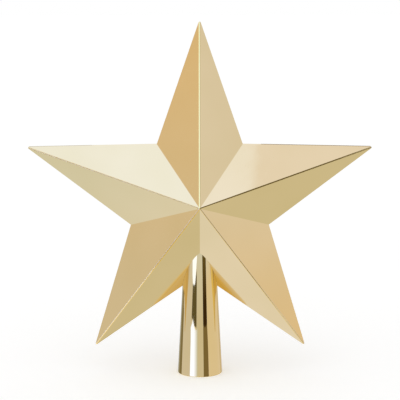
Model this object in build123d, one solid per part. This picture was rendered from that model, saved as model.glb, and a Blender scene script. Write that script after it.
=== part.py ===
from build123d import *

import os
from math import atan2, cos, radians, sin, tan

# Five-pointed faceted star for the top of a Christmas tree, in millimetres.
# Two moulded half shells close on a flat parting plane and clamp the collar of a tapered socket,
# which slips over the leader of the tree.
#
# Part frame: +Z up along the socket, -Y towards the viewer, origin at the centre of the socket's mouth.
# Star frame, used for each half shell: x right, y up, z out of the parting plane, origin at the star's centre.

# Outline of the star
arm_count = 5
tip_radius = 112.0
notch_radius = 44.8
tip_rounding = 0.7

# Section of one half shell
apex_height = 26.7
rim_height = 1.4
wall = 2.0
ridge_rounding = 1.0

# Where the star sits above the mouth of the socket
star_centre_height = 107.5

# Tapered socket
mouth_radius = 13.9
socket_taper_deg = 3.15
socket_wall = 1.4
mouth_chamfer = 0.3
collar_below_centre = 12.0
collar_thickness = 2.0
collar_overhang = 3.0
head_above_collar = 5.0

# Seat of the socket in the shells
socket_clearance = 0.15
saddle_width = 40.0
saddle_rib = 1.6

# Posts, pins and bosses that line the shells up
post_circle_radius = 50.0
pin_radius = 1.5
pin_reach = 6.0
pin_chamfer = 0.4
pin_clearance = 0.08
post_shoulder = 1.3
boss_wall = 1.8
boss_floor_gap = 1.0

# Lip of the front shell that laps into a rebate of the back shell
lip_width = 0.7
lip_height = 0.8
lip_clearance = 0.1

# Extra length by which a cutting body passes the face that it opens
overcut = 1.0

# Worked-out places
half_arm_deg = 180 / arm_count
arm_turns = [360 / arm_count * arm for arm in range(arm_count)]
socket_slope = tan(radians(socket_taper_deg))
collar_height = star_centre_height - collar_below_centre
socket_top = collar_height + collar_thickness / 2 + head_above_collar
socket_wall_across = socket_wall / cos(radians(socket_taper_deg))

# The star frame of each shell, in the part frame
front_frame = Plane(origin=(0, 0, star_centre_height), x_dir=(1, 0, 0), z_dir=(0, -1, 0))
back_frame = Plane(origin=(0, 0, star_centre_height), x_dir=(-1, 0, 0), z_dir=(0, 1, 0))


def notch_point(radius, height):
    """The notch to the right of the arm that points along +y."""
    turn = radians(half_arm_deg)
    return Vector(radius * sin(turn), radius * cos(turn), height)


def facet_normal(tip, notch, apex):
    """Outward normal of the facet to the right of the ridge that climbs along y to the apex."""
    from_apex = Vector(0, 0, apex)
    to_tip = Vector(0, tip, 0) - from_apex
    to_notch = notch_point(notch, 0) - from_apex
    return to_notch.cross(to_tip).normalized()


# How far the cavity lies below the outer facets, and the flat land that this leaves round the rim
facet_rise = apex_height - rim_height
outer_normal = facet_normal(tip_radius, notch_radius, facet_rise)
cavity_sink = wall / outer_normal.Z
facet_slope = tan(atan2(Vector(outer_normal.X, outer_normal.Y, 0).length, outer_normal.Z))
rim_land = (cavity_sink - rim_height) / facet_slope


def kite(tip, notch, rounding):
    """Plan of one arm, from the star's centre to its tip, with the tip rounded."""
    side = notch_point(notch, 0)
    plan = make_face(Polyline((0, 0), (side.X, side.Y), (0, tip), (-side.X, side.Y), close=True))
    if rounding > 0:
        plan = fillet(plan.vertices().sort_by(Axis.Y)[-1], rounding)
    return plan


def ridge_section(turn, half_width, rounding):
    """Section across a ridge: two flanks that fall at the angle turn from a rounded crest."""
    foot = (half_width, -half_width * tan(turn))
    base = -half_width * tan(turn) - half_width
    crest_side = (rounding * sin(turn), rounding * cos(turn) - rounding / cos(turn))
    crest_top = (0, rounding - rounding / cos(turn))
    skirt = Polyline(
        crest_side, foot, (half_width, base), (-half_width, base), (-foot[0], foot[1]),
        (-crest_side[0], crest_side[1]),
    )
    if rounding > 0:
        return make_face(skirt + ThreePointArc((-crest_side[0], crest_side[1]), crest_top, crest_side))
    return make_face(skirt)


def faceted_star(tip, notch, rim, apex, ridge, rounding):
    """Solid half star: facets from a rim of upright walls to the apex, sharp in the valleys."""
    tip_point = Vector(0, tip, rim)
    apex_point = Vector(0, 0, apex)
    climb = (apex_point - tip_point).normalized()
    normal = facet_normal(tip, notch, apex - rim)
    section_plane = Plane(origin=tip_point - climb * tip, x_dir=(1, 0, 0), z_dir=climb)
    turn = atan2(normal.X, normal.dot(section_plane.y_dir))
    section = section_plane * ridge_section(turn, tip, ridge)
    wedge = extrude(section, amount=3 * tip)
    arm = wedge & extrude(kite(tip, notch, rounding), amount=apex)
    return Part() + [Rot(0, 0, turned) * arm for turned in arm_turns]


def shell_body():
    """Outside of a half shell."""
    return faceted_star(tip_radius, notch_radius, rim_height, apex_height, ridge_rounding, tip_rounding)


def shell_cavity():
    """Hollow of a half shell: the outer facets moved in by the wall, and open through the parting plane."""
    cavity_rise = apex_height - cavity_sink + overcut
    share = cavity_rise / facet_rise
    cavity = faceted_star(tip_radius * share, notch_radius * share, 0, cavity_rise, 0, 0)
    return Pos(0, 0, -overcut) * cavity


def star_outline(inset):
    """Face of the star's outline, moved in by an inset."""
    arm = kite(tip_radius, notch_radius, tip_rounding)
    outline = Sketch() + [Rot(0, 0, turned) * arm for turned in arm_turns]
    return offset(outline, amount=-inset, kind=Kind.INTERSECTION) if inset > 0 else outline


def rim_band(outer_inset, inner_inset, height):
    """Band that follows the outline between two insets, from the parting plane to a height."""
    return extrude(star_outline(outer_inset) - star_outline(inner_inset), amount=height)


def post_places():
    """Centres of the posts, one in each arm."""
    return [Rot(0, 0, turned) * Pos(0, post_circle_radius, 0) for turned in arm_turns]


def upright(radius, bottom, top):
    """Round column between two heights above the parting plane."""
    return Pos(0, 0, bottom) * extrude(Circle(radius), amount=top - bottom)


def pin():
    """Chamfered pin that starts inside its post and passes the parting plane."""
    shank = upright(pin_radius, -pin_reach, pin_reach)
    return chamfer(shank.edges().sort_by(Axis.Z)[0], pin_chamfer)


def saddle_ribs():
    """Pair of ribs, one each side of the collar, before they are cut round the socket."""
    stand_off = collar_thickness / 2 + socket_clearance + saddle_rib / 2
    rib = extrude(Rectangle(saddle_width, saddle_rib), amount=apex_height)
    heights = [-collar_below_centre - stand_off, -collar_below_centre + stand_off]
    return [Pos(0, height, 0) * rib for height in heights]


def socket_radius(height):
    """Outside radius of the socket at a height above its mouth."""
    return mouth_radius - socket_slope * height


def socket_passage():
    """Space that the shells leave for the tapered tube, in the part frame."""
    low = -overcut
    high = socket_top + overcut
    profile = Polyline(
        (0, low), (socket_radius(low) + socket_clearance, low),
        (socket_radius(high) + socket_clearance, high), (0, high), close=True,
    )
    return revolve(Plane.XZ * make_face(profile), axis=Axis.Z)


def make_shell(frame, inner_features, recesses):
    """Half shell in the part frame: walls, saddle ribs and its own features, cut round the socket."""
    body = shell_body()
    inside = saddle_ribs() + inner_features
    shell = body - shell_cavity() + [feature & body for feature in inside]
    return frame.location * (shell - recesses) - socket_passage()


def make_front_shell():
    """Front shell, with posts that end in pins and a lip along its rim."""
    post = upright(pin_radius + post_shoulder, 0, apex_height)
    posts = [place * post for place in post_places()]
    shell = make_shell(front_frame, posts, [])
    lip = rim_band(rim_land - lip_width, rim_land, -lip_height)
    proud = [place * pin() for place in post_places()] + [lip]
    return shell + [front_frame.location * feature - socket_passage() for feature in proud]


def make_back_shell():
    """Back shell, with bosses that take the pins and a rebate for the lip."""
    hole_radius = pin_radius + pin_clearance
    boss = upright(hole_radius + boss_wall, 0, apex_height)
    hole = upright(hole_radius, -overcut, pin_reach + boss_floor_gap)
    bosses = [place * boss for place in post_places()]
    rebate = rim_band(rim_land - lip_width - lip_clearance, rim_land + overcut, lip_height + lip_clearance)
    recesses = [place * hole for place in post_places()] + [rebate]
    return make_shell(back_frame, bosses, recesses)


def make_socket():
    """Tapered tube, open at both ends, with chamfered edges at the mouth and a collar near its head."""
    inner_mouth = mouth_radius - socket_wall_across
    inner_top = socket_radius(socket_top) - socket_wall_across
    wall_profile = make_face(
        Polyline(
            (mouth_radius, 0), (socket_radius(socket_top), socket_top), (inner_top, socket_top),
            (inner_mouth, 0), close=True,
        )
    )
    mouth_corners = wall_profile.vertices().group_by(Axis.Y)[0]
    wall_profile = chamfer(mouth_corners, min(mouth_chamfer, socket_wall / 3))
    collar_low = collar_height - collar_thickness / 2
    collar_outer = socket_radius(collar_height) + collar_overhang
    collar_inner = socket_radius(collar_low) - socket_wall / 2
    collar_profile = Pos((collar_inner + collar_outer) / 2, collar_height) * Rectangle(
        collar_outer - collar_inner, collar_thickness
    )
    return revolve(Plane.XZ * (wall_profile + collar_profile), axis=Axis.Z)


def main():
    """Builds every piece and writes it to its own file."""
    pieces = {
        "star_front_shell": make_front_shell(),
        "star_back_shell": make_back_shell(),
        "tree_socket": make_socket(),
    }
    os.makedirs("parts", exist_ok=True)
    for name, piece in pieces.items():
        export_step(piece, f"parts/{name}.step")


if __name__ == "__main__":
    main()
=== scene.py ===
import logging
import math
from contextlib import contextmanager
from dataclasses import dataclass
from enum import Enum
from typing import Callable, Iterable, Iterator

import bmesh
import bpy
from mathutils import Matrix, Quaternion, Vector


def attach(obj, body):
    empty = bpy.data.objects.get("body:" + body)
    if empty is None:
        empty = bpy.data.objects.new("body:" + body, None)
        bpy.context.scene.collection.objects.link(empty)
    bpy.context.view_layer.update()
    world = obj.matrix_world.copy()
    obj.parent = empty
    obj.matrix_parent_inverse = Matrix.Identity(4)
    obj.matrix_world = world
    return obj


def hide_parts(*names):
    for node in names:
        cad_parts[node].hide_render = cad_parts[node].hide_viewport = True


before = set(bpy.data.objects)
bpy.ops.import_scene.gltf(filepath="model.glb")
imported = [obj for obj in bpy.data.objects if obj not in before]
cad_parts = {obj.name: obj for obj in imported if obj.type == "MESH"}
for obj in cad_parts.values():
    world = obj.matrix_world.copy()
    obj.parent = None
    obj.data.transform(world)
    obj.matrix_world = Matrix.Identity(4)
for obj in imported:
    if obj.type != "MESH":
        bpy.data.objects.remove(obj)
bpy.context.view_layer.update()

# Gold star for the top of a Christmas tree: two moulded half shells that close on the collar of a
# tapered socket. The part stands on the mouth of the socket, with the viewer on the side of -Y.
# Lengths are in metres, and angles in degrees where their names say so and in radians elsewhere.
# Star coordinates are used while a half shell is shaped: x right, y up, z out of the parting plane.

LOG = logging.getLogger("tree_topper")
MM = 0.001
BODY = "root"

# Points nearer than this are one point, and a cut passes through a point that is nearer to it than this.
WELD = 0.001 * MM
ON_CUT = 0.0001 * MM

# A face whose normal rises by less than this stands upright, and faces that turn by less than this are one.
UPRIGHT = 0.001
ONE_FACE_DEG = 0.1

# Weight of large faces where normals are blended: 50 is neutral, and 100 keeps large faces flattest.
LARGE_FACE_WEIGHT = 100

WHITE = "#FFFFFF"


class ShellSide(Enum):
    """The two half shells."""

    FRONT = "front"
    BACK = "back"


class Combination(Enum):
    """What a tool does to a piece, with Blender's word for it."""

    JOIN = "UNION"
    CUT = "DIFFERENCE"
    CROSS = "INTERSECT"


@dataclass(frozen=True)
class Cut:
    """A plane that trims a block: what lies in front of it goes."""

    point: Vector
    normal: Vector


def linear(hex_colour: str) -> tuple[float, float, float, float]:
    """Turns an sRGB hex colour into linear light, by the sRGB curve.

    Args:
        hex_colour: six hex digits after a hash sign.

    Returns:
        Red, green and blue from 0 to 1, and an alpha of 1.
    """
    channels = [int(hex_colour[place:place + 2], 16) / 255 for place in (1, 3, 5)]
    red, green, blue = [c / 12.92 if c <= 0.04045 else ((c + 0.055) / 1.055) ** 2.4 for c in channels]
    return red, green, blue, 1.0


def empty_tree(owner: bpy.types.Material | bpy.types.World) -> bpy.types.NodeTree:
    """Gives a new material or world an empty node tree.

    Args:
        owner: the material or world.

    Returns:
        Its node tree, without the nodes that Blender starts it with.
    """
    owner.use_nodes = True
    owner.node_tree.nodes.clear()
    return owner.node_tree


def add_node(
    tree: bpy.types.NodeTree, kind: str, inputs: dict[str | int, object] | None = None, **settings: object
) -> bpy.types.Node:
    """Adds a node, with its settings, its values and the links into it.

    Args:
        tree: the node tree that gets the node.
        kind: Blender's name for the kind of node.
        inputs: for each input, by name or place, its value or the output that feeds it.
        settings: attributes of the node itself.

    Returns:
        The new node.
    """
    node = tree.nodes.new(kind)
    for name, value in settings.items():
        setattr(node, name, value)
    for key, value in (inputs or {}).items():
        if isinstance(value, bpy.types.NodeSocket):
            tree.links.new(value, node.inputs[key])
        else:
            node.inputs[key].default_value = value
    return node


def take_up(piece: bpy.types.Object) -> None:
    """Makes a piece the only one that operators act on.

    Args:
        piece: the mesh object.
    """
    bpy.ops.object.select_all(action="DESELECT")
    piece.select_set(True)
    bpy.context.view_layer.objects.active = piece


@contextmanager
def shaping(piece: bpy.types.Object) -> Iterator[bmesh.types.BMesh]:
    """Opens a piece in edit mode, with nothing else selected, and closes it again.

    Args:
        piece: the mesh object to shape.

    Returns:
        The mesh in edit mode, to select faces and edges in.
    """
    take_up(piece)
    bpy.ops.object.mode_set(mode="EDIT")
    yield bmesh.from_edit_mesh(piece.data)
    bpy.ops.object.mode_set(mode="OBJECT")


def settle(piece: bpy.types.Object) -> None:
    """Puts a piece's place, turn and scale into its mesh."""
    take_up(piece)
    bpy.ops.object.transform_apply(location=True, rotation=True, scale=True)


def weld() -> None:
    """Merges the points that lie together in the mesh that is open in edit mode."""
    bpy.ops.mesh.select_all(action="SELECT")
    bpy.ops.mesh.remove_doubles(threshold=WELD)


def face_outwards() -> None:
    """Turns every face of the mesh that is open in edit mode outwards."""
    bpy.ops.mesh.select_all(action="SELECT")
    bpy.ops.mesh.normals_make_consistent(inside=False)


def combine(piece: bpy.types.Object, tool: bpy.types.Object, how: Combination) -> None:
    """Joins a tool to a piece, cuts it out or crosses the two, removes the tool and welds the piece.

    Args:
        piece: the mesh object that changes.
        tool: the closed mesh object that acts on it.
        how: what the tool does.
    """
    take_up(piece)
    modifier = piece.modifiers.new("combine", "BOOLEAN")
    modifier.operation = how.value
    modifier.solver = "EXACT"
    modifier.object = tool
    bpy.ops.object.modifier_apply(modifier=modifier.name)
    bpy.data.objects.remove(tool)
    with shaping(piece):
        weld()


def pick(
    elements: Iterable[bmesh.types.BMFace | bmesh.types.BMEdge], wanted: Callable[..., bool]
) -> None:
    """Selects some faces or edges of the mesh that is open in edit mode, and nothing else.

    Args:
        elements: the mesh's faces or its edges.
        wanted: tells of each one whether it is to be selected.
    """
    bpy.ops.mesh.select_all(action="DESELECT")
    for element in elements:
        if wanted(element):
            element.select_set(True)


def copy_round(copies: int) -> None:
    """Copies all of the mesh that is open in edit mode round the Z axis, evenly.

    Args:
        copies: how many there are in the end, with the first one.
    """
    bpy.ops.mesh.select_all(action="SELECT")
    step = 2 * math.pi / copies
    bpy.ops.mesh.spin(
        steps=copies - 1, dupli=True, angle=step * (copies - 1), center=(0, 0, 0), axis=(0, 0, 1)
    )


def corner_cuts(edge: Vector, first: Vector, second: Vector, radius: float, steps: int) -> list[Cut]:
    """Planes that round the corner between two faces, each tangent to the rounding's cylinder.

    Args:
        edge: a point on the sharp corner.
        first: outward normal of one face.
        second: outward normal of the other face.
        radius: radius of the rounding.
        steps: how many planes.

    Returns:
        The cuts, from the first face to the second.
    """
    axis = edge - (first + second) * (radius / (1 + first.dot(second)))
    normals = [first.slerp(second, (step + 1) / (steps + 1)) for step in range(steps)]
    return [Cut(axis + normal * radius, normal) for normal in normals]


@dataclass(frozen=True)
class StarForm:
    """A solid half star: ten facets that climb from an upright rim to the apex."""

    arms: int
    tip_radius: float
    notch_radius: float
    rim_height: float
    apex_height: float
    ridge_rounding: float = 0.0
    rim_rounding: float = 0.0
    tip_rounding: float = 0.0
    parting_chamfer: float = 0.0
    ridge_steps: int = 9
    rim_steps: int = 4
    tip_steps: int = 7

    @property
    def half_arm(self) -> float:
        """Angle from the middle of an arm to its notch."""
        return math.pi / self.arms

    def facet_normal(self, side: int) -> Vector:
        """Outward normal of a facet of the upper arm.

        Args:
            side: 1 for the facet on the right, and -1 for the one on the left.

        Returns:
            The normal, one unit long.
        """
        rise = self.apex_height - self.rim_height
        notch = Vector((math.sin(self.half_arm), math.cos(self.half_arm), 0)) * self.notch_radius
        normal = (notch - Vector((0, 0, rise))).cross(Vector((0, self.tip_radius, -rise))).normalized()
        return Vector((side * normal.x, normal.y, normal.z))

    def wall_normal(self, side: int) -> Vector:
        """Outward normal of the rim's wall on one side of the upper arm."""
        facet = self.facet_normal(side)
        return Vector((facet.x, facet.y, 0)).normalized()

    def valley_normal(self, side: int) -> Vector:
        """Normal of the upright plane through a valley, out of the upper arm."""
        return Vector((side * math.cos(self.half_arm), -math.sin(self.half_arm), 0))

    def on_valley(self, point: Vector) -> bool:
        """Whether a point is on one of the upright planes through the valleys."""
        turn = math.atan2(point.x, point.y) % (2 * self.half_arm) - self.half_arm
        return abs(math.sin(turn) * point.xy.length) < WELD

    def is_between_arms(self, face: bmesh.types.BMFace) -> bool:
        """Whether a face stands upright on the axis, where two arms meet."""
        return abs(face.normal.z) < UPRIGHT and abs(face.normal.dot(face.calc_center_median())) < WELD

    def arm_cuts(self) -> list[Cut]:
        """Every plane that bounds the upper arm, apart from the parting plane.

        Returns:
            The cuts of the right side, then of the left side, then of the ridge and the tip.
        """
        tip_top = Vector((0, self.tip_radius, self.rim_height))
        tip_foot = Vector((0, self.tip_radius, 0))
        down = Vector((0, 0, -1))
        cuts: list[Cut] = []
        for side in (1, -1):
            cuts.append(Cut(tip_top, self.facet_normal(side)))
            cuts.append(Cut(Vector(), self.valley_normal(side)))
            if self.rim_height > 0:
                cuts.append(Cut(tip_top, self.wall_normal(side)))
            if self.rim_rounding > 0:
                facet, wall = self.facet_normal(side), self.wall_normal(side)
                cuts += corner_cuts(tip_top, facet, wall, self.rim_rounding, self.rim_steps)
            if self.parting_chamfer > 0:
                slant = (self.wall_normal(side) + down).normalized()
                cuts.append(Cut(tip_foot + Vector((0, 0, self.parting_chamfer)), slant))
        if self.ridge_rounding > 0:
            right, left = self.facet_normal(1), self.facet_normal(-1)
            cuts += corner_cuts(tip_top, right, left, self.ridge_rounding, self.ridge_steps)
        if self.tip_rounding > 0:
            right, left = self.wall_normal(1), self.wall_normal(-1)
            cuts += corner_cuts(tip_top, right, left, self.tip_rounding, self.tip_steps)
        return cuts

    def build(self, name: str) -> bpy.types.Object:
        """Cuts one arm from a block, copies it round the star and welds the arms into one solid.

        Args:
            name: the object's name.

        Returns:
            A closed mesh object in star coordinates, flat on the parting plane.
        """
        bpy.ops.object.select_all(action="DESELECT")
        block = 2 * self.tip_radius
        bpy.ops.mesh.primitive_cube_add(size=block, location=(0, self.tip_radius / 2, block / 2))
        star = bpy.context.object
        star.name = name
        settle(star)
        with shaping(star) as mesh:
            for cut in self.arm_cuts():
                bpy.ops.mesh.select_all(action="SELECT")
                bpy.ops.mesh.bisect(
                    plane_co=cut.point, plane_no=cut.normal, use_fill=True, clear_outer=True,
                    threshold=ON_CUT,
                )
            copy_round(self.arms)
            pick(mesh.faces, self.is_between_arms)
            bpy.ops.mesh.delete(type="FACE")
            weld()
            bpy.ops.mesh.dissolve_limited(angle_limit=math.radians(ONE_FACE_DEG))
            face_outwards()
            pick(mesh.edges, lambda edge: all(self.on_valley(vertex.co) for vertex in edge.verts))
            bpy.ops.mesh.mark_sharp()
        return star


@dataclass(frozen=True)
class GoldFilm:
    """Vacuum-metallised polystyrene: a gold film under clear lacquer, on a moulded surface.

    It gives the eye a metal's coloured mirror with the moulding below it: flat facets that each take one
    tone of the room, a slight haze that differs from place to place, and lines that waver a little.
    Its sizes in millimetres are those of clouds in the film, patches of haze and waves of the moulding.
    """

    name: str
    gold: str
    thin_gold: str
    cloud_mm: float
    roughness: float
    roughness_spread: float
    haze_mm: float
    wave_mm: float
    wave_depth_mm: float
    noise_detail: float = 1.0
    noise_low: float = 0.3
    noise_high: float = 0.7

    def material(self) -> bpy.types.Material:
        """Makes the material.

        Returns:
            The new material.
        """
        made = bpy.data.materials.new(self.name)
        tree = empty_tree(made)
        place = add_node(tree, "ShaderNodeTexCoord").outputs["Object"]
        cloud, haze, wave = (
            add_node(
                tree, "ShaderNodeTexNoise",
                {"Vector": place, "Scale": 1 / (size_mm * MM), "Detail": self.noise_detail},
            ).outputs["Fac"]
            for size_mm in (self.cloud_mm, self.haze_mm, self.wave_mm)
        )
        film = add_node(
            tree, "ShaderNodeMix",
            {"Factor": cloud, "A": linear(self.gold), "B": linear(self.thin_gold)},
            data_type="RGBA",
        )
        shine = add_node(
            tree, "ShaderNodeMapRange",
            {
                "Value": haze, "From Min": self.noise_low, "From Max": self.noise_high,
                "To Min": self.roughness - self.roughness_spread,
                "To Max": self.roughness + self.roughness_spread,
            },
        )
        bump = add_node(tree, "ShaderNodeBump", {"Height": wave, "Distance": self.wave_depth_mm * MM})
        shader = add_node(
            tree, "ShaderNodeBsdfPrincipled",
            {
                "Base Color": film.outputs["Result"], "Metallic": 1.0, "Roughness": shine.outputs["Result"],
                "Normal": bump.outputs["Normal"],
            },
        )
        add_node(tree, "ShaderNodeOutputMaterial", {"Surface": shader.outputs["BSDF"]})
        return made


# Satin lacquer: each facet takes one soft tone of the room, and its picture of the room is a little hazy.
SATIN_GOLD = GoldFilm(
    name="satin_gold_film_on_polystyrene", gold="#DCC692", thin_gold="#E4CE9F", cloud_mm=32.0,
    roughness=0.05, roughness_spread=0.015, haze_mm=6.0, wave_mm=9.0, wave_depth_mm=0.002,
)

# Gloss lacquer: the tube mirrors the lights and the dark flags as crisp upright stripes.
POLISHED_GOLD = GoldFilm(
    name="polished_gold_film_on_polystyrene", gold="#E2C680", thin_gold="#E8CC8C", cloud_mm=24.0,
    roughness=0.02, roughness_spread=0.005, haze_mm=6.0, wave_mm=9.0, wave_depth_mm=0.001,
)


def dress(piece: bpy.types.Object, material: bpy.types.Material, node: str) -> None:
    """Gives a finished piece its material and says what it stands for.

    Args:
        piece: the finished mesh object.
        material: its finish.
        node: the CAD node that it replaces.
    """
    piece.data.materials.clear()
    piece.data.materials.append(material)
    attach(piece, BODY)
    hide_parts(node)
    LOG.info("%s: %d faces, stands for %s", piece.name, len(piece.data.polygons), node)


def smooth(piece: bpy.types.Object, angle_deg: float) -> None:
    """Smooths the roundings of a piece and keeps its large faces flat.

    Args:
        piece: the mesh object.
        angle_deg: edges that turn by more than this stay sharp.
    """
    take_up(piece)
    bpy.ops.object.shade_smooth_by_angle(angle=math.radians(angle_deg))
    modifier = piece.modifiers.new("flat_faces", "WEIGHTED_NORMAL")
    modifier.mode = "FACE_AREA"
    modifier.weight = LARGE_FACE_WEIGHT
    modifier.keep_sharp = True
    bpy.ops.object.modifier_apply(modifier=modifier.name)


@dataclass
class TreeSocket:
    """Tapered tube that slips over the tree's leader, with a collar that the shells hold."""

    mouth_radius: float = 13.9 * MM
    taper_deg: float = 3.15
    wall: float = 1.4 * MM
    lip_rounding: float = 0.35 * MM
    lip_segments: int = 4
    collar_height: float = 95.5 * MM
    collar_thickness: float = 2.0 * MM
    collar_overhang: float = 3.0 * MM
    head_above_collar: float = 5.0 * MM
    segments: int = 160
    sharp_above_deg: float = 35.0
    node: str = "tree_socket"
    slot: str = "polished_gold_plastic"

    def radius(self, height: float) -> float:
        """Outside radius at a height above the mouth."""
        return self.mouth_radius - math.tan(math.radians(self.taper_deg)) * height

    def outline(self) -> list[tuple[float, float]]:
        """Radius and height of each corner of the wall's section.

        Returns:
            The corners, up the outside from the mouth and down the bore.
        """
        collar_low = self.collar_height - self.collar_thickness / 2
        collar_high = self.collar_height + self.collar_thickness / 2
        collar_radius = self.radius(self.collar_height) + self.collar_overhang
        top = collar_high + self.head_above_collar
        across = self.wall / math.cos(math.radians(self.taper_deg))
        return [
            (self.mouth_radius, 0.0),
            (self.radius(collar_low), collar_low),
            (collar_radius, collar_low),
            (collar_radius, collar_high),
            (self.radius(collar_high), collar_high),
            (self.radius(top), top),
            (self.radius(top) - across, top),
            (self.mouth_radius - across, 0.0),
        ]

    def build(self) -> bpy.types.Object:
        """Draws the section upwards from a ring, ring by ring, and closes the bore onto the mouth.

        Returns:
            The finished mesh object.
        """
        outline = self.outline()
        bpy.ops.object.select_all(action="DESELECT")
        bpy.ops.mesh.primitive_circle_add(vertices=self.segments, radius=self.mouth_radius)
        socket = bpy.context.object
        socket.name = "tree_socket_tube"
        with shaping(socket) as mesh:
            for (last_radius, last_height), (radius, height) in zip(outline, outline[1:]):
                climb = (0, 0, height - last_height)
                bpy.ops.mesh.extrude_edges_move(TRANSFORM_OT_translate={"value": climb})
                share = radius / last_radius
                bpy.ops.transform.resize(value=(share, share, 1), center_override=(0, 0, height))
            pick(mesh.edges, lambda edge: edge.is_boundary)
            bpy.ops.mesh.bridge_edge_loops()
            face_outwards()
            pick(mesh.edges, self.is_mouth_ring)
            bpy.ops.mesh.bevel(
                offset=self.lip_rounding, segments=self.lip_segments, affect="EDGES", clamp_overlap=False
            )
        smooth(socket, self.sharp_above_deg)
        return socket

    def is_mouth_ring(self, edge: bmesh.types.BMEdge) -> bool:
        """Whether an edge runs round the mouth."""
        first, second = (vertex.co for vertex in edge.verts)
        return max(abs(first.z), abs(second.z), abs(first.xy.length - second.xy.length)) < WELD

    def dress(self, piece: bpy.types.Object, material: bpy.types.Material) -> None:
        """Finishes the tube in polished gold."""
        dress(piece, material, self.node)


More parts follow.
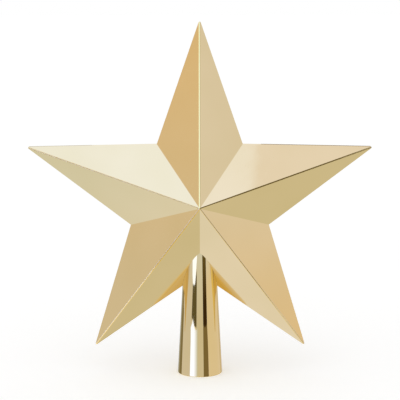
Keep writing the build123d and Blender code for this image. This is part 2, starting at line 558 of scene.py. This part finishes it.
@dataclass
class HalfShell:
    """One moulded half of the star, hollow, with an opening for the socket."""

    side: ShellSide
    socket: TreeSocket

    # Outline and section, and the height of the star's centre above the socket's mouth
    arms: int = 5
    tip_radius: float = 112.0 * MM
    notch_radius: float = 44.8 * MM
    tip_rounding: float = 0.7 * MM
    apex_height: float = 26.7 * MM
    rim_height: float = 1.4 * MM
    wall: float = 2.0 * MM
    ridge_rounding: float = 1.0 * MM
    rim_rounding: float = 0.25 * MM
    parting_chamfer: float = 0.12 * MM
    centre_height: float = 107.5 * MM

    # Seat of the socket, with ribs on both sides of its collar
    socket_clearance: float = 0.03 * MM
    collar_clearance: float = 0.15 * MM
    saddle_width: float = 40.0 * MM
    saddle_rib: float = 1.6 * MM

    # Posts with pins in the front shell, and bosses for them in the back shell
    post_circle: float = 50.0 * MM
    post_shoulder: float = 1.3 * MM
    pin_radius: float = 1.5 * MM
    pin_reach: float = 6.0 * MM
    pin_chamfer: float = 0.4 * MM
    pin_clearance: float = 0.08 * MM
    boss_wall: float = 1.8 * MM
    boss_floor_gap: float = 1.0 * MM

    # Lip of the front shell, which laps into a rebate of the back shell
    lip_width: float = 0.7 * MM
    lip_height: float = 0.8 * MM
    lip_setback: float = 0.05 * MM
    lip_clearance: float = 0.1 * MM

    # How far a cutting body passes the face that it opens, and how fine the round forms are
    overcut: float = 1.0 * MM
    column_segments: int = 32
    passage_segments: int = 160
    sharp_above_deg: float = 25.0
    slot: str = "satin_gold_plastic"

    @property
    def node(self) -> str:
        """The CAD node that this shell stands for."""
        return f"star_{self.side.value}_shell"

    def outside(self) -> StarForm:
        """Form of the shell's outside."""
        return StarForm(
            arms=self.arms, tip_radius=self.tip_radius, notch_radius=self.notch_radius,
            rim_height=self.rim_height, apex_height=self.apex_height, ridge_rounding=self.ridge_rounding,
            rim_rounding=self.rim_rounding, tip_rounding=self.tip_rounding,
            parting_chamfer=self.parting_chamfer,
        )

    def inner_solid(self, depth: float) -> bpy.types.Object:
        """Solid whose facets lie below the outer ones and which passes the parting plane.

        Args:
            depth: how far below the outer facets, square to them.

        Returns:
            A closed mesh object in star coordinates.
        """
        sink = depth / self.outside().facet_normal(1).z
        rise = self.apex_height - sink + self.overcut
        share = rise / (self.apex_height - self.rim_height)
        form = StarForm(
            arms=self.arms, tip_radius=self.tip_radius * share, notch_radius=self.notch_radius * share,
            rim_height=0.0, apex_height=rise,
        )
        solid = form.build("inner_solid")
        solid.location = (0, 0, -self.overcut)
        settle(solid)
        return solid

    def rim_land(self) -> float:
        """Width of the flat land that the hollow leaves round the rim."""
        normal = self.outside().facet_normal(1)
        return (self.wall / normal.z - self.rim_height) * normal.z / normal.xy.length

    def columns(self, radius: float, low: float, high: float, chamfer: float = 0.0) -> bpy.types.Object:
        """One round column in each arm.

        Args:
            radius: the column's radius.
            low: height of its foot above the parting plane.
            high: height of its top.
            chamfer: chamfer round its foot.

        Returns:
            A closed mesh object in star coordinates.
        """
        bpy.ops.object.select_all(action="DESELECT")
        bpy.ops.mesh.primitive_cylinder_add(
            vertices=self.column_segments, radius=radius, depth=high - low,
            location=(0, self.post_circle, (low + high) / 2),
            rotation=(0, 0, math.pi / self.column_segments),
        )
        columns = bpy.context.object
        settle(columns)
        with shaping(columns) as mesh:
            if chamfer > 0:
                pick(mesh.edges, lambda edge: all(vertex.co.z < low + WELD for vertex in edge.verts))
                bpy.ops.mesh.bevel(offset=chamfer, segments=1, affect="EDGES")
            copy_round(self.arms)
            face_outwards()
        return columns

    def saddle(self) -> bpy.types.Object:
        """Pair of ribs, one each side of the socket's collar.

        Returns:
            A closed mesh object in star coordinates.
        """
        collar = self.socket.collar_height - self.centre_height
        spacing = self.socket.collar_thickness + 2 * self.collar_clearance + self.saddle_rib
        bpy.ops.object.select_all(action="DESELECT")
        bpy.ops.mesh.primitive_cube_add(
            size=1.0, location=(0, collar - spacing / 2, self.apex_height / 2),
            scale=(self.saddle_width, self.saddle_rib, self.apex_height),
        )
        ribs = bpy.context.object
        settle(ribs)
        with shaping(ribs):
            bpy.ops.mesh.select_all(action="SELECT")
            bpy.ops.mesh.duplicate_move(TRANSFORM_OT_translate={"value": (0, spacing, 0)})
        return ribs

    def rim_ring(self, outer_inset: float, inner_inset: float, low: float, high: float) -> bpy.types.Object:
        """Ring that follows the star's outline.

        Args:
            outer_inset: how far its outer side lies in from the outline.
            inner_inset: how far its inner side lies in from the outline.
            low: height of its foot above the parting plane.
            high: height of its top.

        Returns:
            A closed mesh object in star coordinates.
        """
        half_arm = self.outside().half_arm
        tip = Vector((0, self.tip_radius))
        notch = Vector((math.sin(half_arm), math.cos(half_arm))) * self.notch_radius
        edge_distance = abs(tip.cross(notch)) / (tip - notch).length
        inner, outer = (1 - inset / edge_distance for inset in (inner_inset, outer_inset))
        bpy.ops.object.select_all(action="DESELECT")
        bpy.ops.mesh.primitive_circle_add(vertices=2 * self.arms)
        ring = bpy.context.object
        for corner, vertex in enumerate(ring.data.vertices):
            radius = inner * (self.notch_radius if corner % 2 else self.tip_radius)
            vertex.co = (radius * math.sin(corner * half_arm), radius * math.cos(corner * half_arm), low)
        with shaping(ring):
            bpy.ops.mesh.select_all(action="SELECT")
            bpy.ops.mesh.extrude_edges_move()
            bpy.ops.transform.resize(value=(outer / inner, outer / inner, 1), center_override=(0, 0, low))
            bpy.ops.mesh.select_all(action="SELECT")
            bpy.ops.mesh.extrude_region_move(TRANSFORM_OT_translate={"value": (0, 0, high - low)})
            face_outwards()
        return ring

    def add_supports(self, shell: bpy.types.Object, supports: list[bpy.types.Object]) -> None:
        """Joins supports to the inside of a shell, cut off within its wall.

        Args:
            shell: the hollow half star.
            supports: closed mesh objects that stand on the parting plane.
        """
        for support in supports:
            combine(support, self.inner_solid(self.wall / 2), Combination.CROSS)
            combine(shell, support, Combination.JOIN)

    def fit_front(self, shell: bpy.types.Object) -> None:
        """Gives the front shell its ribs, posts, pins and lip.

        Args:
            shell: the hollow half star.
        """
        post = self.columns(self.pin_radius + self.post_shoulder, 0.0, self.apex_height)
        self.add_supports(shell, [self.saddle(), post])
        pin = self.columns(self.pin_radius, -self.pin_reach, self.pin_reach, self.pin_chamfer)
        combine(shell, pin, Combination.JOIN)
        land = self.rim_land()
        lip = self.rim_ring(
            land - self.lip_width, land - self.lip_setback, -self.lip_height, self.lip_height / 2
        )
        combine(shell, lip, Combination.JOIN)

    def fit_back(self, shell: bpy.types.Object) -> None:
        """Gives the back shell its ribs, its bosses with holes for the pins, and the rebate for the lip.

        Args:
            shell: the hollow half star.
        """
        hole_radius = self.pin_radius + self.pin_clearance
        boss = self.columns(hole_radius + self.boss_wall, 0.0, self.apex_height)
        self.add_supports(shell, [self.saddle(), boss])
        hole = self.columns(hole_radius, -self.overcut, self.pin_reach + self.boss_floor_gap)
        combine(shell, hole, Combination.CUT)
        land = self.rim_land()
        outer_inset = land - self.lip_width - self.lip_clearance
        rebate = self.rim_ring(
            outer_inset, land + self.overcut, -self.overcut, self.lip_height + self.lip_clearance
        )
        combine(shell, rebate, Combination.CUT)

    def passage(self) -> bpy.types.Object:
        """Cone that leaves room for the socket.

        Returns:
            A closed mesh object in the part's frame.
        """
        low = -self.overcut
        high = self.centre_height
        bpy.ops.object.select_all(action="DESELECT")
        bpy.ops.mesh.primitive_cone_add(
            vertices=self.passage_segments, radius1=self.socket.radius(low) + self.socket_clearance,
            radius2=self.socket.radius(high) + self.socket_clearance, depth=high - low,
            location=(0, 0, (low + high) / 2), rotation=(0, 0, math.pi / self.passage_segments),
        )
        passage = bpy.context.object
        settle(passage)
        return passage

    def build(self) -> bpy.types.Object:
        """Hollows a solid half star, stands it in its place and opens it for the socket.

        Returns:
            The finished mesh object.
        """
        shell = self.outside().build(f"{self.node}_moulding")
        combine(shell, self.inner_solid(self.wall), Combination.CUT)
        if self.side is ShellSide.FRONT:
            self.fit_front(shell)
        else:
            self.fit_back(shell)
        shell.rotation_euler = (math.pi / 2, 0, 0 if self.side is ShellSide.FRONT else math.pi)
        shell.location = (0, 0, self.centre_height)
        settle(shell)
        combine(shell, self.passage(), Combination.CUT)
        smooth(shell, self.sharp_above_deg)
        return shell

    def dress(self, piece: bpy.types.Object, material: bpy.types.Material) -> None:
        """Finishes the shell in satin gold."""
        dress(piece, material, self.node)


def aim(turn_deg: float, climb_deg: float) -> Vector:
    """Direction from the object, by degrees to the viewer's right and degrees up from the horizon.

    Args:
        turn_deg: 0 is towards the viewer, and 90 to the viewer's right.
        climb_deg: 0 is level, and 90 straight up.

    Returns:
        The direction, one unit long.
    """
    turn, climb = math.radians(turn_deg), math.radians(climb_deg)
    return Vector((math.sin(turn) * math.cos(climb), -math.cos(turn) * math.cos(climb), math.sin(climb)))


def pane(left: float, right: float, low: float, high: float) -> tuple[tuple[float, float], ...]:
    """Corners of a card with level edges, as StudioCard takes them.

    Args:
        left: degrees to the viewer's right at which it starts.
        right: degrees to the viewer's right at which it ends.
        low: degrees up from the horizon of its foot.
        high: degrees up from the horizon of its head.

    Returns:
        The four corners, round the card from its lower left.
    """
    return (left, low), (right, low), (right, high), (left, high)


class Hang(Enum):
    """How far a card hangs from the object, in metres. A nearer card covers those behind it."""

    NEAR = 2.5
    MIDDLE = 3.0
    FAR = 3.5
    OUTER = 3.8


class ShadeWay(Enum):
    """The direction in which a card's tone changes, as aim takes it."""

    UPWARDS = (0.0, 90.0)
    TO_THE_RIGHT = (90.0, 0.0)


@dataclass(frozen=True)
class StudioCard:
    """A card round the object that shows only in its reflections.

    Its corners are directions, as aim takes them. Where it has a head tone, it shades from the foot's tone
    to the head's, between two angles in degrees that are counted along the way of the shading.
    """

    name: str
    corners: tuple[tuple[float, float], ...]
    foot: str
    level: float = 1.0
    head: str | None = None
    shade: tuple[float, float] = (0.0, 90.0)
    way: ShadeWay = ShadeWay.UPWARDS
    hang: Hang = Hang.FAR

    def build(self, centre: Vector) -> None:
        """Hangs the card round a point.

        Args:
            centre: the point that its directions start from.
        """
        bpy.ops.object.select_all(action="DESELECT")
        bpy.ops.mesh.primitive_circle_add(vertices=len(self.corners), fill_type="NGON")
        card = bpy.context.object
        card.name = self.name
        for vertex, (turn, climb) in zip(card.data.vertices, self.corners):
            vertex.co = centre + aim(turn, climb) * self.hang.value
        card.visible_camera = False
        card.visible_diffuse = False
        card.visible_shadow = False
        card.data.materials.append(self.material(centre))

    def material(self, centre: Vector) -> bpy.types.Material:
        """Even glow, or one that shades from foot to head.

        Args:
            centre: the point that its angles are counted from.

        Returns:
            The new material.
        """
        made = bpy.data.materials.new(self.name)
        made.cycles.emission_sampling = "NONE"
        tree = empty_tree(made)
        glow = add_node(tree, "ShaderNodeEmission", {"Color": linear(self.foot), "Strength": self.level})
        if self.head:
            place = add_node(tree, "ShaderNodeTexCoord").outputs["Object"]
            out = add_node(tree, "ShaderNodeVectorMath", {0: place, 1: centre}, operation="SUBTRACT")
            unit = add_node(tree, "ShaderNodeVectorMath", {0: out.outputs["Vector"]}, operation="NORMALIZE")
            rise = add_node(
                tree, "ShaderNodeVectorMath", {0: unit.outputs["Vector"], 1: aim(*self.way.value)},
                operation="DOT_PRODUCT",
            )
            low, high = (math.sin(math.radians(angle)) for angle in self.shade)
            share = add_node(
                tree, "ShaderNodeMapRange",
                {"Value": rise.outputs["Value"], "From Min": low, "From Max": high},
            )
            tone = add_node(
                tree, "ShaderNodeMix",
                {"Factor": share.outputs["Result"], "A": linear(self.foot), "B": linear(self.head)},
                data_type="RGBA",
            )
            tree.links.new(tone.outputs["Result"], glow.inputs["Color"])
        add_node(tree, "ShaderNodeOutputMaterial", {"Surface": glow.outputs["Emission"]})
        return made


@dataclass
class Studio:
    """White room: floor, soft key light, white surround and the cards that the gold mirrors."""

    floor_size: float = 40.0
    floor_tint: str = "#F7F7F7"
    floor_lift: float = 0.25
    surround_fill: float = 0.7
    key_strength: float = 0.4
    key_angle_deg: float = 70.0
    key_turn_deg: float = -20.0
    key_climb_deg: float = 68.0
    card_centre: tuple[float, float, float] = (0.0, 0.0, 0.06)
    below_sides: int = 8
    below_climb_deg: float = -64.0

    def room_cards(self) -> list[StudioCard]:
        """Ceiling, walls and skirting: tones for the facets that look up or sideways, and for the tube.

        Returns:
            The cards, from the ceiling down to the skirting.
        """
        return [
            StudioCard("ceiling_left", ((0, 49), (180, 49), (-137, 40), (-43, 40)), "#C7D7FF", 2.03),
            StudioCard("ceiling_middle", ((0, 49), (5.2, 49), (174.8, 49), (180, 49)), "#D3DDFF", 1.75),
            StudioCard("ceiling_right", ((5.2, 49), (43, 40), (137, 40), (174.8, 49)), "#E5E8FF", 1.33),
            StudioCard("wall_left", pane(-125, -56, -2, 32), "#F3EFEE", 0.92, "#FFEBD1", (3, 19)),
            StudioCard("wall_right", pane(56, 125, -1, 32), "#F3E4D2", 1.07, "#EFF1FF", (0, 10)),
            StudioCard("skirting_left", pane(-128, -48, -16, -2), "#BEC4E3", 1.5, "#C1CEFF", (-6.5, -4.4)),
            StudioCard("skirting_right", pane(38, 132, -16, -1), "#C9C8D5", 1.5, "#C4D1FF", (-6.5, -4.4)),
        ]

    def floor_cards(self) -> list[StudioCard]:
        """Floor: the broad tones of the facets that look down, with warm and light patches in front.

        Returns:
            The cards, broad ones first.
        """
        step = 360 // self.below_sides
        below = tuple((turn, self.below_climb_deg) for turn in range(-180, 180, step))
        return [
            StudioCard("floor_below", below, "#E4DFD6", hang=Hang.OUTER),
            StudioCard("floor_left", pane(-130, -54, -80, -38), "#E9EDFF", 1.22, "#DAE4F2", (-60, -50)),
            StudioCard("floor_right", pane(54, 130, -80, -38), "#FFFFF5", 0.8),
            StudioCard("floor_far_left", pane(-130, -54, -38, -16), "#F1EADC"),
            StudioCard("floor_far_right", pane(54, 130, -38, -16), "#DDD6C8"),
            StudioCard("floor_front", pane(-5, 54, -54, -36), "#FFF4C0", 0.95),
            StudioCard("floor_glow_near", pane(7, 24, -63, -54.8), "#FFF6CC", hang=Hang.NEAR),
            StudioCard(
                "floor_glow_far", ((34, -66), (53, -66), (53, -54.8), (43, -54.8), (34, -56)),
                "#FFF6CC", hang=Hang.NEAR,
            ),
            StudioCard(
                "floor_warm",
                ((24, -49.5), (3.5, -40), (-15.8, -27.3), (-19, -30.8), (0.4, -44.1), (24, -54.2)),
                "#FFE582", hang=Hang.NEAR,
            ),
            StudioCard(
                "floor_side", ((46, -46), (58, -44), (66, -30), (72, -15), (62, -17), (55, -33)),
                "#FFFFDC", 1.1, hang=Hang.NEAR,
            ),
        ]

    def back_cards(self) -> list[StudioCard]:
        """Walls and floor behind the object: tones for the back shell, the rim and the tube's outer edges.

        Returns:
            The cards, walls and floor first.
        """
        return [
            StudioCard("back_wall_left", pane(-174, -132, -4, 22), "#B5B2AA", 1.0, "#D8D5CF", (-4, 16)),
            StudioCard("back_wall_right", pane(132, 174, -4, 22), "#A8A59C", 1.0, "#CFCCC4", (-4, 16)),
            StudioCard("back_floor_left", pane(-178, -132, -78, -40), "#E2DCD0"),
            StudioCard("back_floor_right", pane(132, 178, -78, -40), "#D9D2C4"),
            StudioCard("behind_edge", ((-140, -20), (-140, -8), (-185, -5), (-185, -20)), "#B1B5B5"),
            StudioCard("behind_low", pane(132, 175, -20, -5), "#DCD4C8"),
            StudioCard("behind_right", pane(168, 176.5, 2, 12), "#6A4C14", hang=Hang.MIDDLE),
            StudioCard(
                "behind_left",
                (
                    (-101, -20), (-102, -12.7), (-103.5, -12.1), (-101, -11.2), (-106, -10.25),
                    (-119, -10), (-140, -8), (-140, -20),
                ),
                "#8D8976", hang=Hang.MIDDLE,
            ),
        ]

    def ridge_cards(self) -> list[StudioCard]:
        """Lights and dark flags in front: they draw the ridges as light or dark lines.

        Returns:
            The cards, lights first.
        """
        return [
            StudioCard("softbox_front", pane(-16, 8, 9, 33), "#CAE9FF", 2.0, hang=Hang.NEAR),
            StudioCard("softbox_side", pane(-63, -31, 6, 28), "#CAE9FF", 3.0, hang=Hang.NEAR),
            StudioCard(
                "strip_left", ((-23, -27.7), (-31, -21.3), (-36, -26.5), (-27.5, -33)),
                WHITE, 2.4, hang=Hang.NEAR,
            ),
            StudioCard(
                "warm_corner", ((-61, -2.9), (-46, -2.9), (-51, 5), (-62, 5)),
                "#F9D359", hang=Hang.NEAR,
            ),
            StudioCard(
                "strip_gap", ((-19, -30.8), (-16, -14), (-46, -14), (-44, -21), (-31, -21.3)),
                "#FFF48A", 0.3, hang=Hang.NEAR,
            ),
            StudioCard("flag_left", pane(-36, -20, -2, 10), "#9A958C", hang=Hang.NEAR),
            StudioCard(
                "flag_right_low",
                ((19, -8.05), (18, -34.2), (36.5, -20.8), (37, -18), (46, -11.5), (46, -10), (42.5, -8.3)),
                "#867C65", hang=Hang.NEAR,
            ),
            StudioCard(
                "flag_right_foot", ((35, -22), (46, -15), (55, -33), (44, -39.5)),
                "#6F675A", hang=Hang.NEAR,
            ),
        ]

    def tube_cards(self) -> list[StudioCard]:
        """Lights and flags for the tube's upright stripes. flag_right darkens the right ridge too.

        Returns:
            The cards, from left to right.
        """
        return [
            StudioCard(
                "softbox_left",
                (
                    (-53, -5.1), (-51, -5.8), (-47.5, -6.2), (-32, -5.95), (-27.5, -5.4), (-20.5, -4.2),
                    (-19, -3), (-53, -3),
                ),
                "#A0B4FF", 3.8, hang=Hang.NEAR,
            ),
            StudioCard(
                "softbox_gap",
                (
                    (-47.5, -6.2), (-51, -8.25), (-42.5, -8.1), (-20, -8.2), (-20.2, -5.8), (-22.5, -5.0),
                    (-27.5, -5.4), (-32, -5.95),
                ),
                "#676450", hang=Hang.NEAR,
            ),
            StudioCard(
                "softbox_left_low",
                ((-55.5, -8.85), (-54, -9.55), (-54, -12), (-11, -12), (-12, -8.2), (-42.5, -8.1)),
                "#97ACFF", 4.2, "#717884", (-33, -12), ShadeWay.TO_THE_RIGHT, Hang.NEAR,
            ),
            StudioCard("front_low", pane(-24, 20, -14, -2), "#BFC4DA", 1.45, "#C3D2FF", (-7.5, -4.4)),
            StudioCard(
                "flag_right",
                ((19, -8.05), (42.5, -8.3), (42.5, -4), (31.5, 2), (22.5, 52), (4, 52), (17, -4)),
                "#3F301D", 1.0, "#7A7250", (-7, -3), hang=Hang.NEAR,
            ),
        ]

    def build(self) -> None:
        """Sets up the room. The cards' left and right are as the viewer stands."""
        self.build_surround()
        self.build_floor()
        self.build_key()
        room = self.room_cards() + self.floor_cards() + self.back_cards()
        for card in room + self.ridge_cards() + self.tube_cards():
            card.build(Vector(self.card_centre))

    def build_surround(self) -> None:
        """White all round for the camera and for the metal, and a softer fill for the floor."""
        world = bpy.data.worlds.new("white_surround")
        tree = empty_tree(world)
        ray = add_node(tree, "ShaderNodeLightPath").outputs
        seen = add_node(
            tree, "ShaderNodeMath", {0: ray["Is Camera Ray"], 1: ray["Is Glossy Ray"]}, operation="MAXIMUM"
        )
        shown = add_node(
            tree, "ShaderNodeMath", {0: seen.outputs[0], 1: ray["Is Transmission Ray"]}, operation="MAXIMUM"
        )
        level = add_node(
            tree, "ShaderNodeMapRange",
            {"Value": shown.outputs[0], "To Min": self.surround_fill, "To Max": 1.0},
        )
        white = add_node(
            tree, "ShaderNodeBackground", {"Color": linear(WHITE), "Strength": level.outputs["Result"]}
        )
        add_node(tree, "ShaderNodeOutputWorld", {"Surface": white.outputs["Background"]})
        bpy.context.scene.world = world

    def build_floor(self) -> None:
        """White paper floor that takes the object's shadow, lifted to white for the camera alone."""
        bpy.ops.object.select_all(action="DESELECT")
        bpy.ops.mesh.primitive_plane_add(size=self.floor_size)
        floor = bpy.context.object
        floor.name = "floor"
        floor.visible_glossy = False
        made = bpy.data.materials.new("matt_white_paper")
        made.cycles.emission_sampling = "NONE"
        tree = empty_tree(made)
        ray = add_node(tree, "ShaderNodeLightPath").outputs
        lift = add_node(
            tree, "ShaderNodeMapRange", {"Value": ray["Is Camera Ray"], "To Max": self.floor_lift}
        )
        shader = add_node(
            tree, "ShaderNodeBsdfPrincipled",
            {
                "Base Color": linear(self.floor_tint), "Roughness": 1.0, "Specular IOR Level": 0.0,
                "Emission Color": linear(WHITE), "Emission Strength": lift.outputs["Result"],
            },
        )
        add_node(tree, "ShaderNodeOutputMaterial", {"Surface": shader.outputs["BSDF"]})
        floor.data.materials.append(made)

    def build_key(self) -> None:
        """Broad soft light from above, kept out of the reflections."""
        lamp = bpy.data.lights.new("soft_key", "SUN")
        lamp.energy = self.key_strength
        lamp.angle = math.radians(self.key_angle_deg)
        key = bpy.data.objects.new("soft_key", lamp)
        key.rotation_mode = "QUATERNION"
        key.rotation_quaternion = aim(self.key_turn_deg, self.key_climb_deg).to_track_quat("Z", "Y")
        key.visible_glossy = False
        bpy.context.scene.collection.objects.link(key)


@dataclass
class PhotoCamera:
    """Camera at the photograph's place, fitted to the star's corners: in front and a little above."""

    eye: tuple[float, float, float] = (0.00104, -0.82533, 0.23075)
    turn_rad: float = -0.00114
    dip_rad: float = 0.14662
    lean_rad: float = -0.0012
    lens_mm: float = 121.7
    sensor_mm: float = 36.0

    def build(self) -> None:
        """Places the camera and makes it the scene's own."""
        lens = bpy.data.cameras.new("photo_camera")
        lens.lens = self.lens_mm
        lens.sensor_width = self.sensor_mm
        camera = bpy.data.objects.new("photo_camera", lens)
        forward = Vector(
            (
                math.sin(self.turn_rad) * math.cos(self.dip_rad),
                math.cos(self.turn_rad) * math.cos(self.dip_rad),
                -math.sin(self.dip_rad),
            )
        )
        camera.location = self.eye
        camera.rotation_mode = "QUATERNION"
        camera.rotation_quaternion = forward.to_track_quat("-Z", "Y") @ Quaternion((0, 0, 1), self.lean_rad)
        bpy.context.scene.collection.objects.link(camera)
        bpy.context.scene.camera = camera


def main() -> None:
    """Builds the topper and the studio round it."""
    logging.basicConfig(level=logging.INFO, format="%(message)s")
    bpy.context.scene.view_settings.view_transform = "Standard"
    socket = TreeSocket()
    satin, polished = SATIN_GOLD.material(), POLISHED_GOLD.material()
    for side in ShellSide:
        shell = HalfShell(side, socket)
        shell.dress(shell.build(), satin)
    socket.dress(socket.build(), polished)
    Studio().build()
    PhotoCamera().build()


if __name__ == "__main__":
    main()
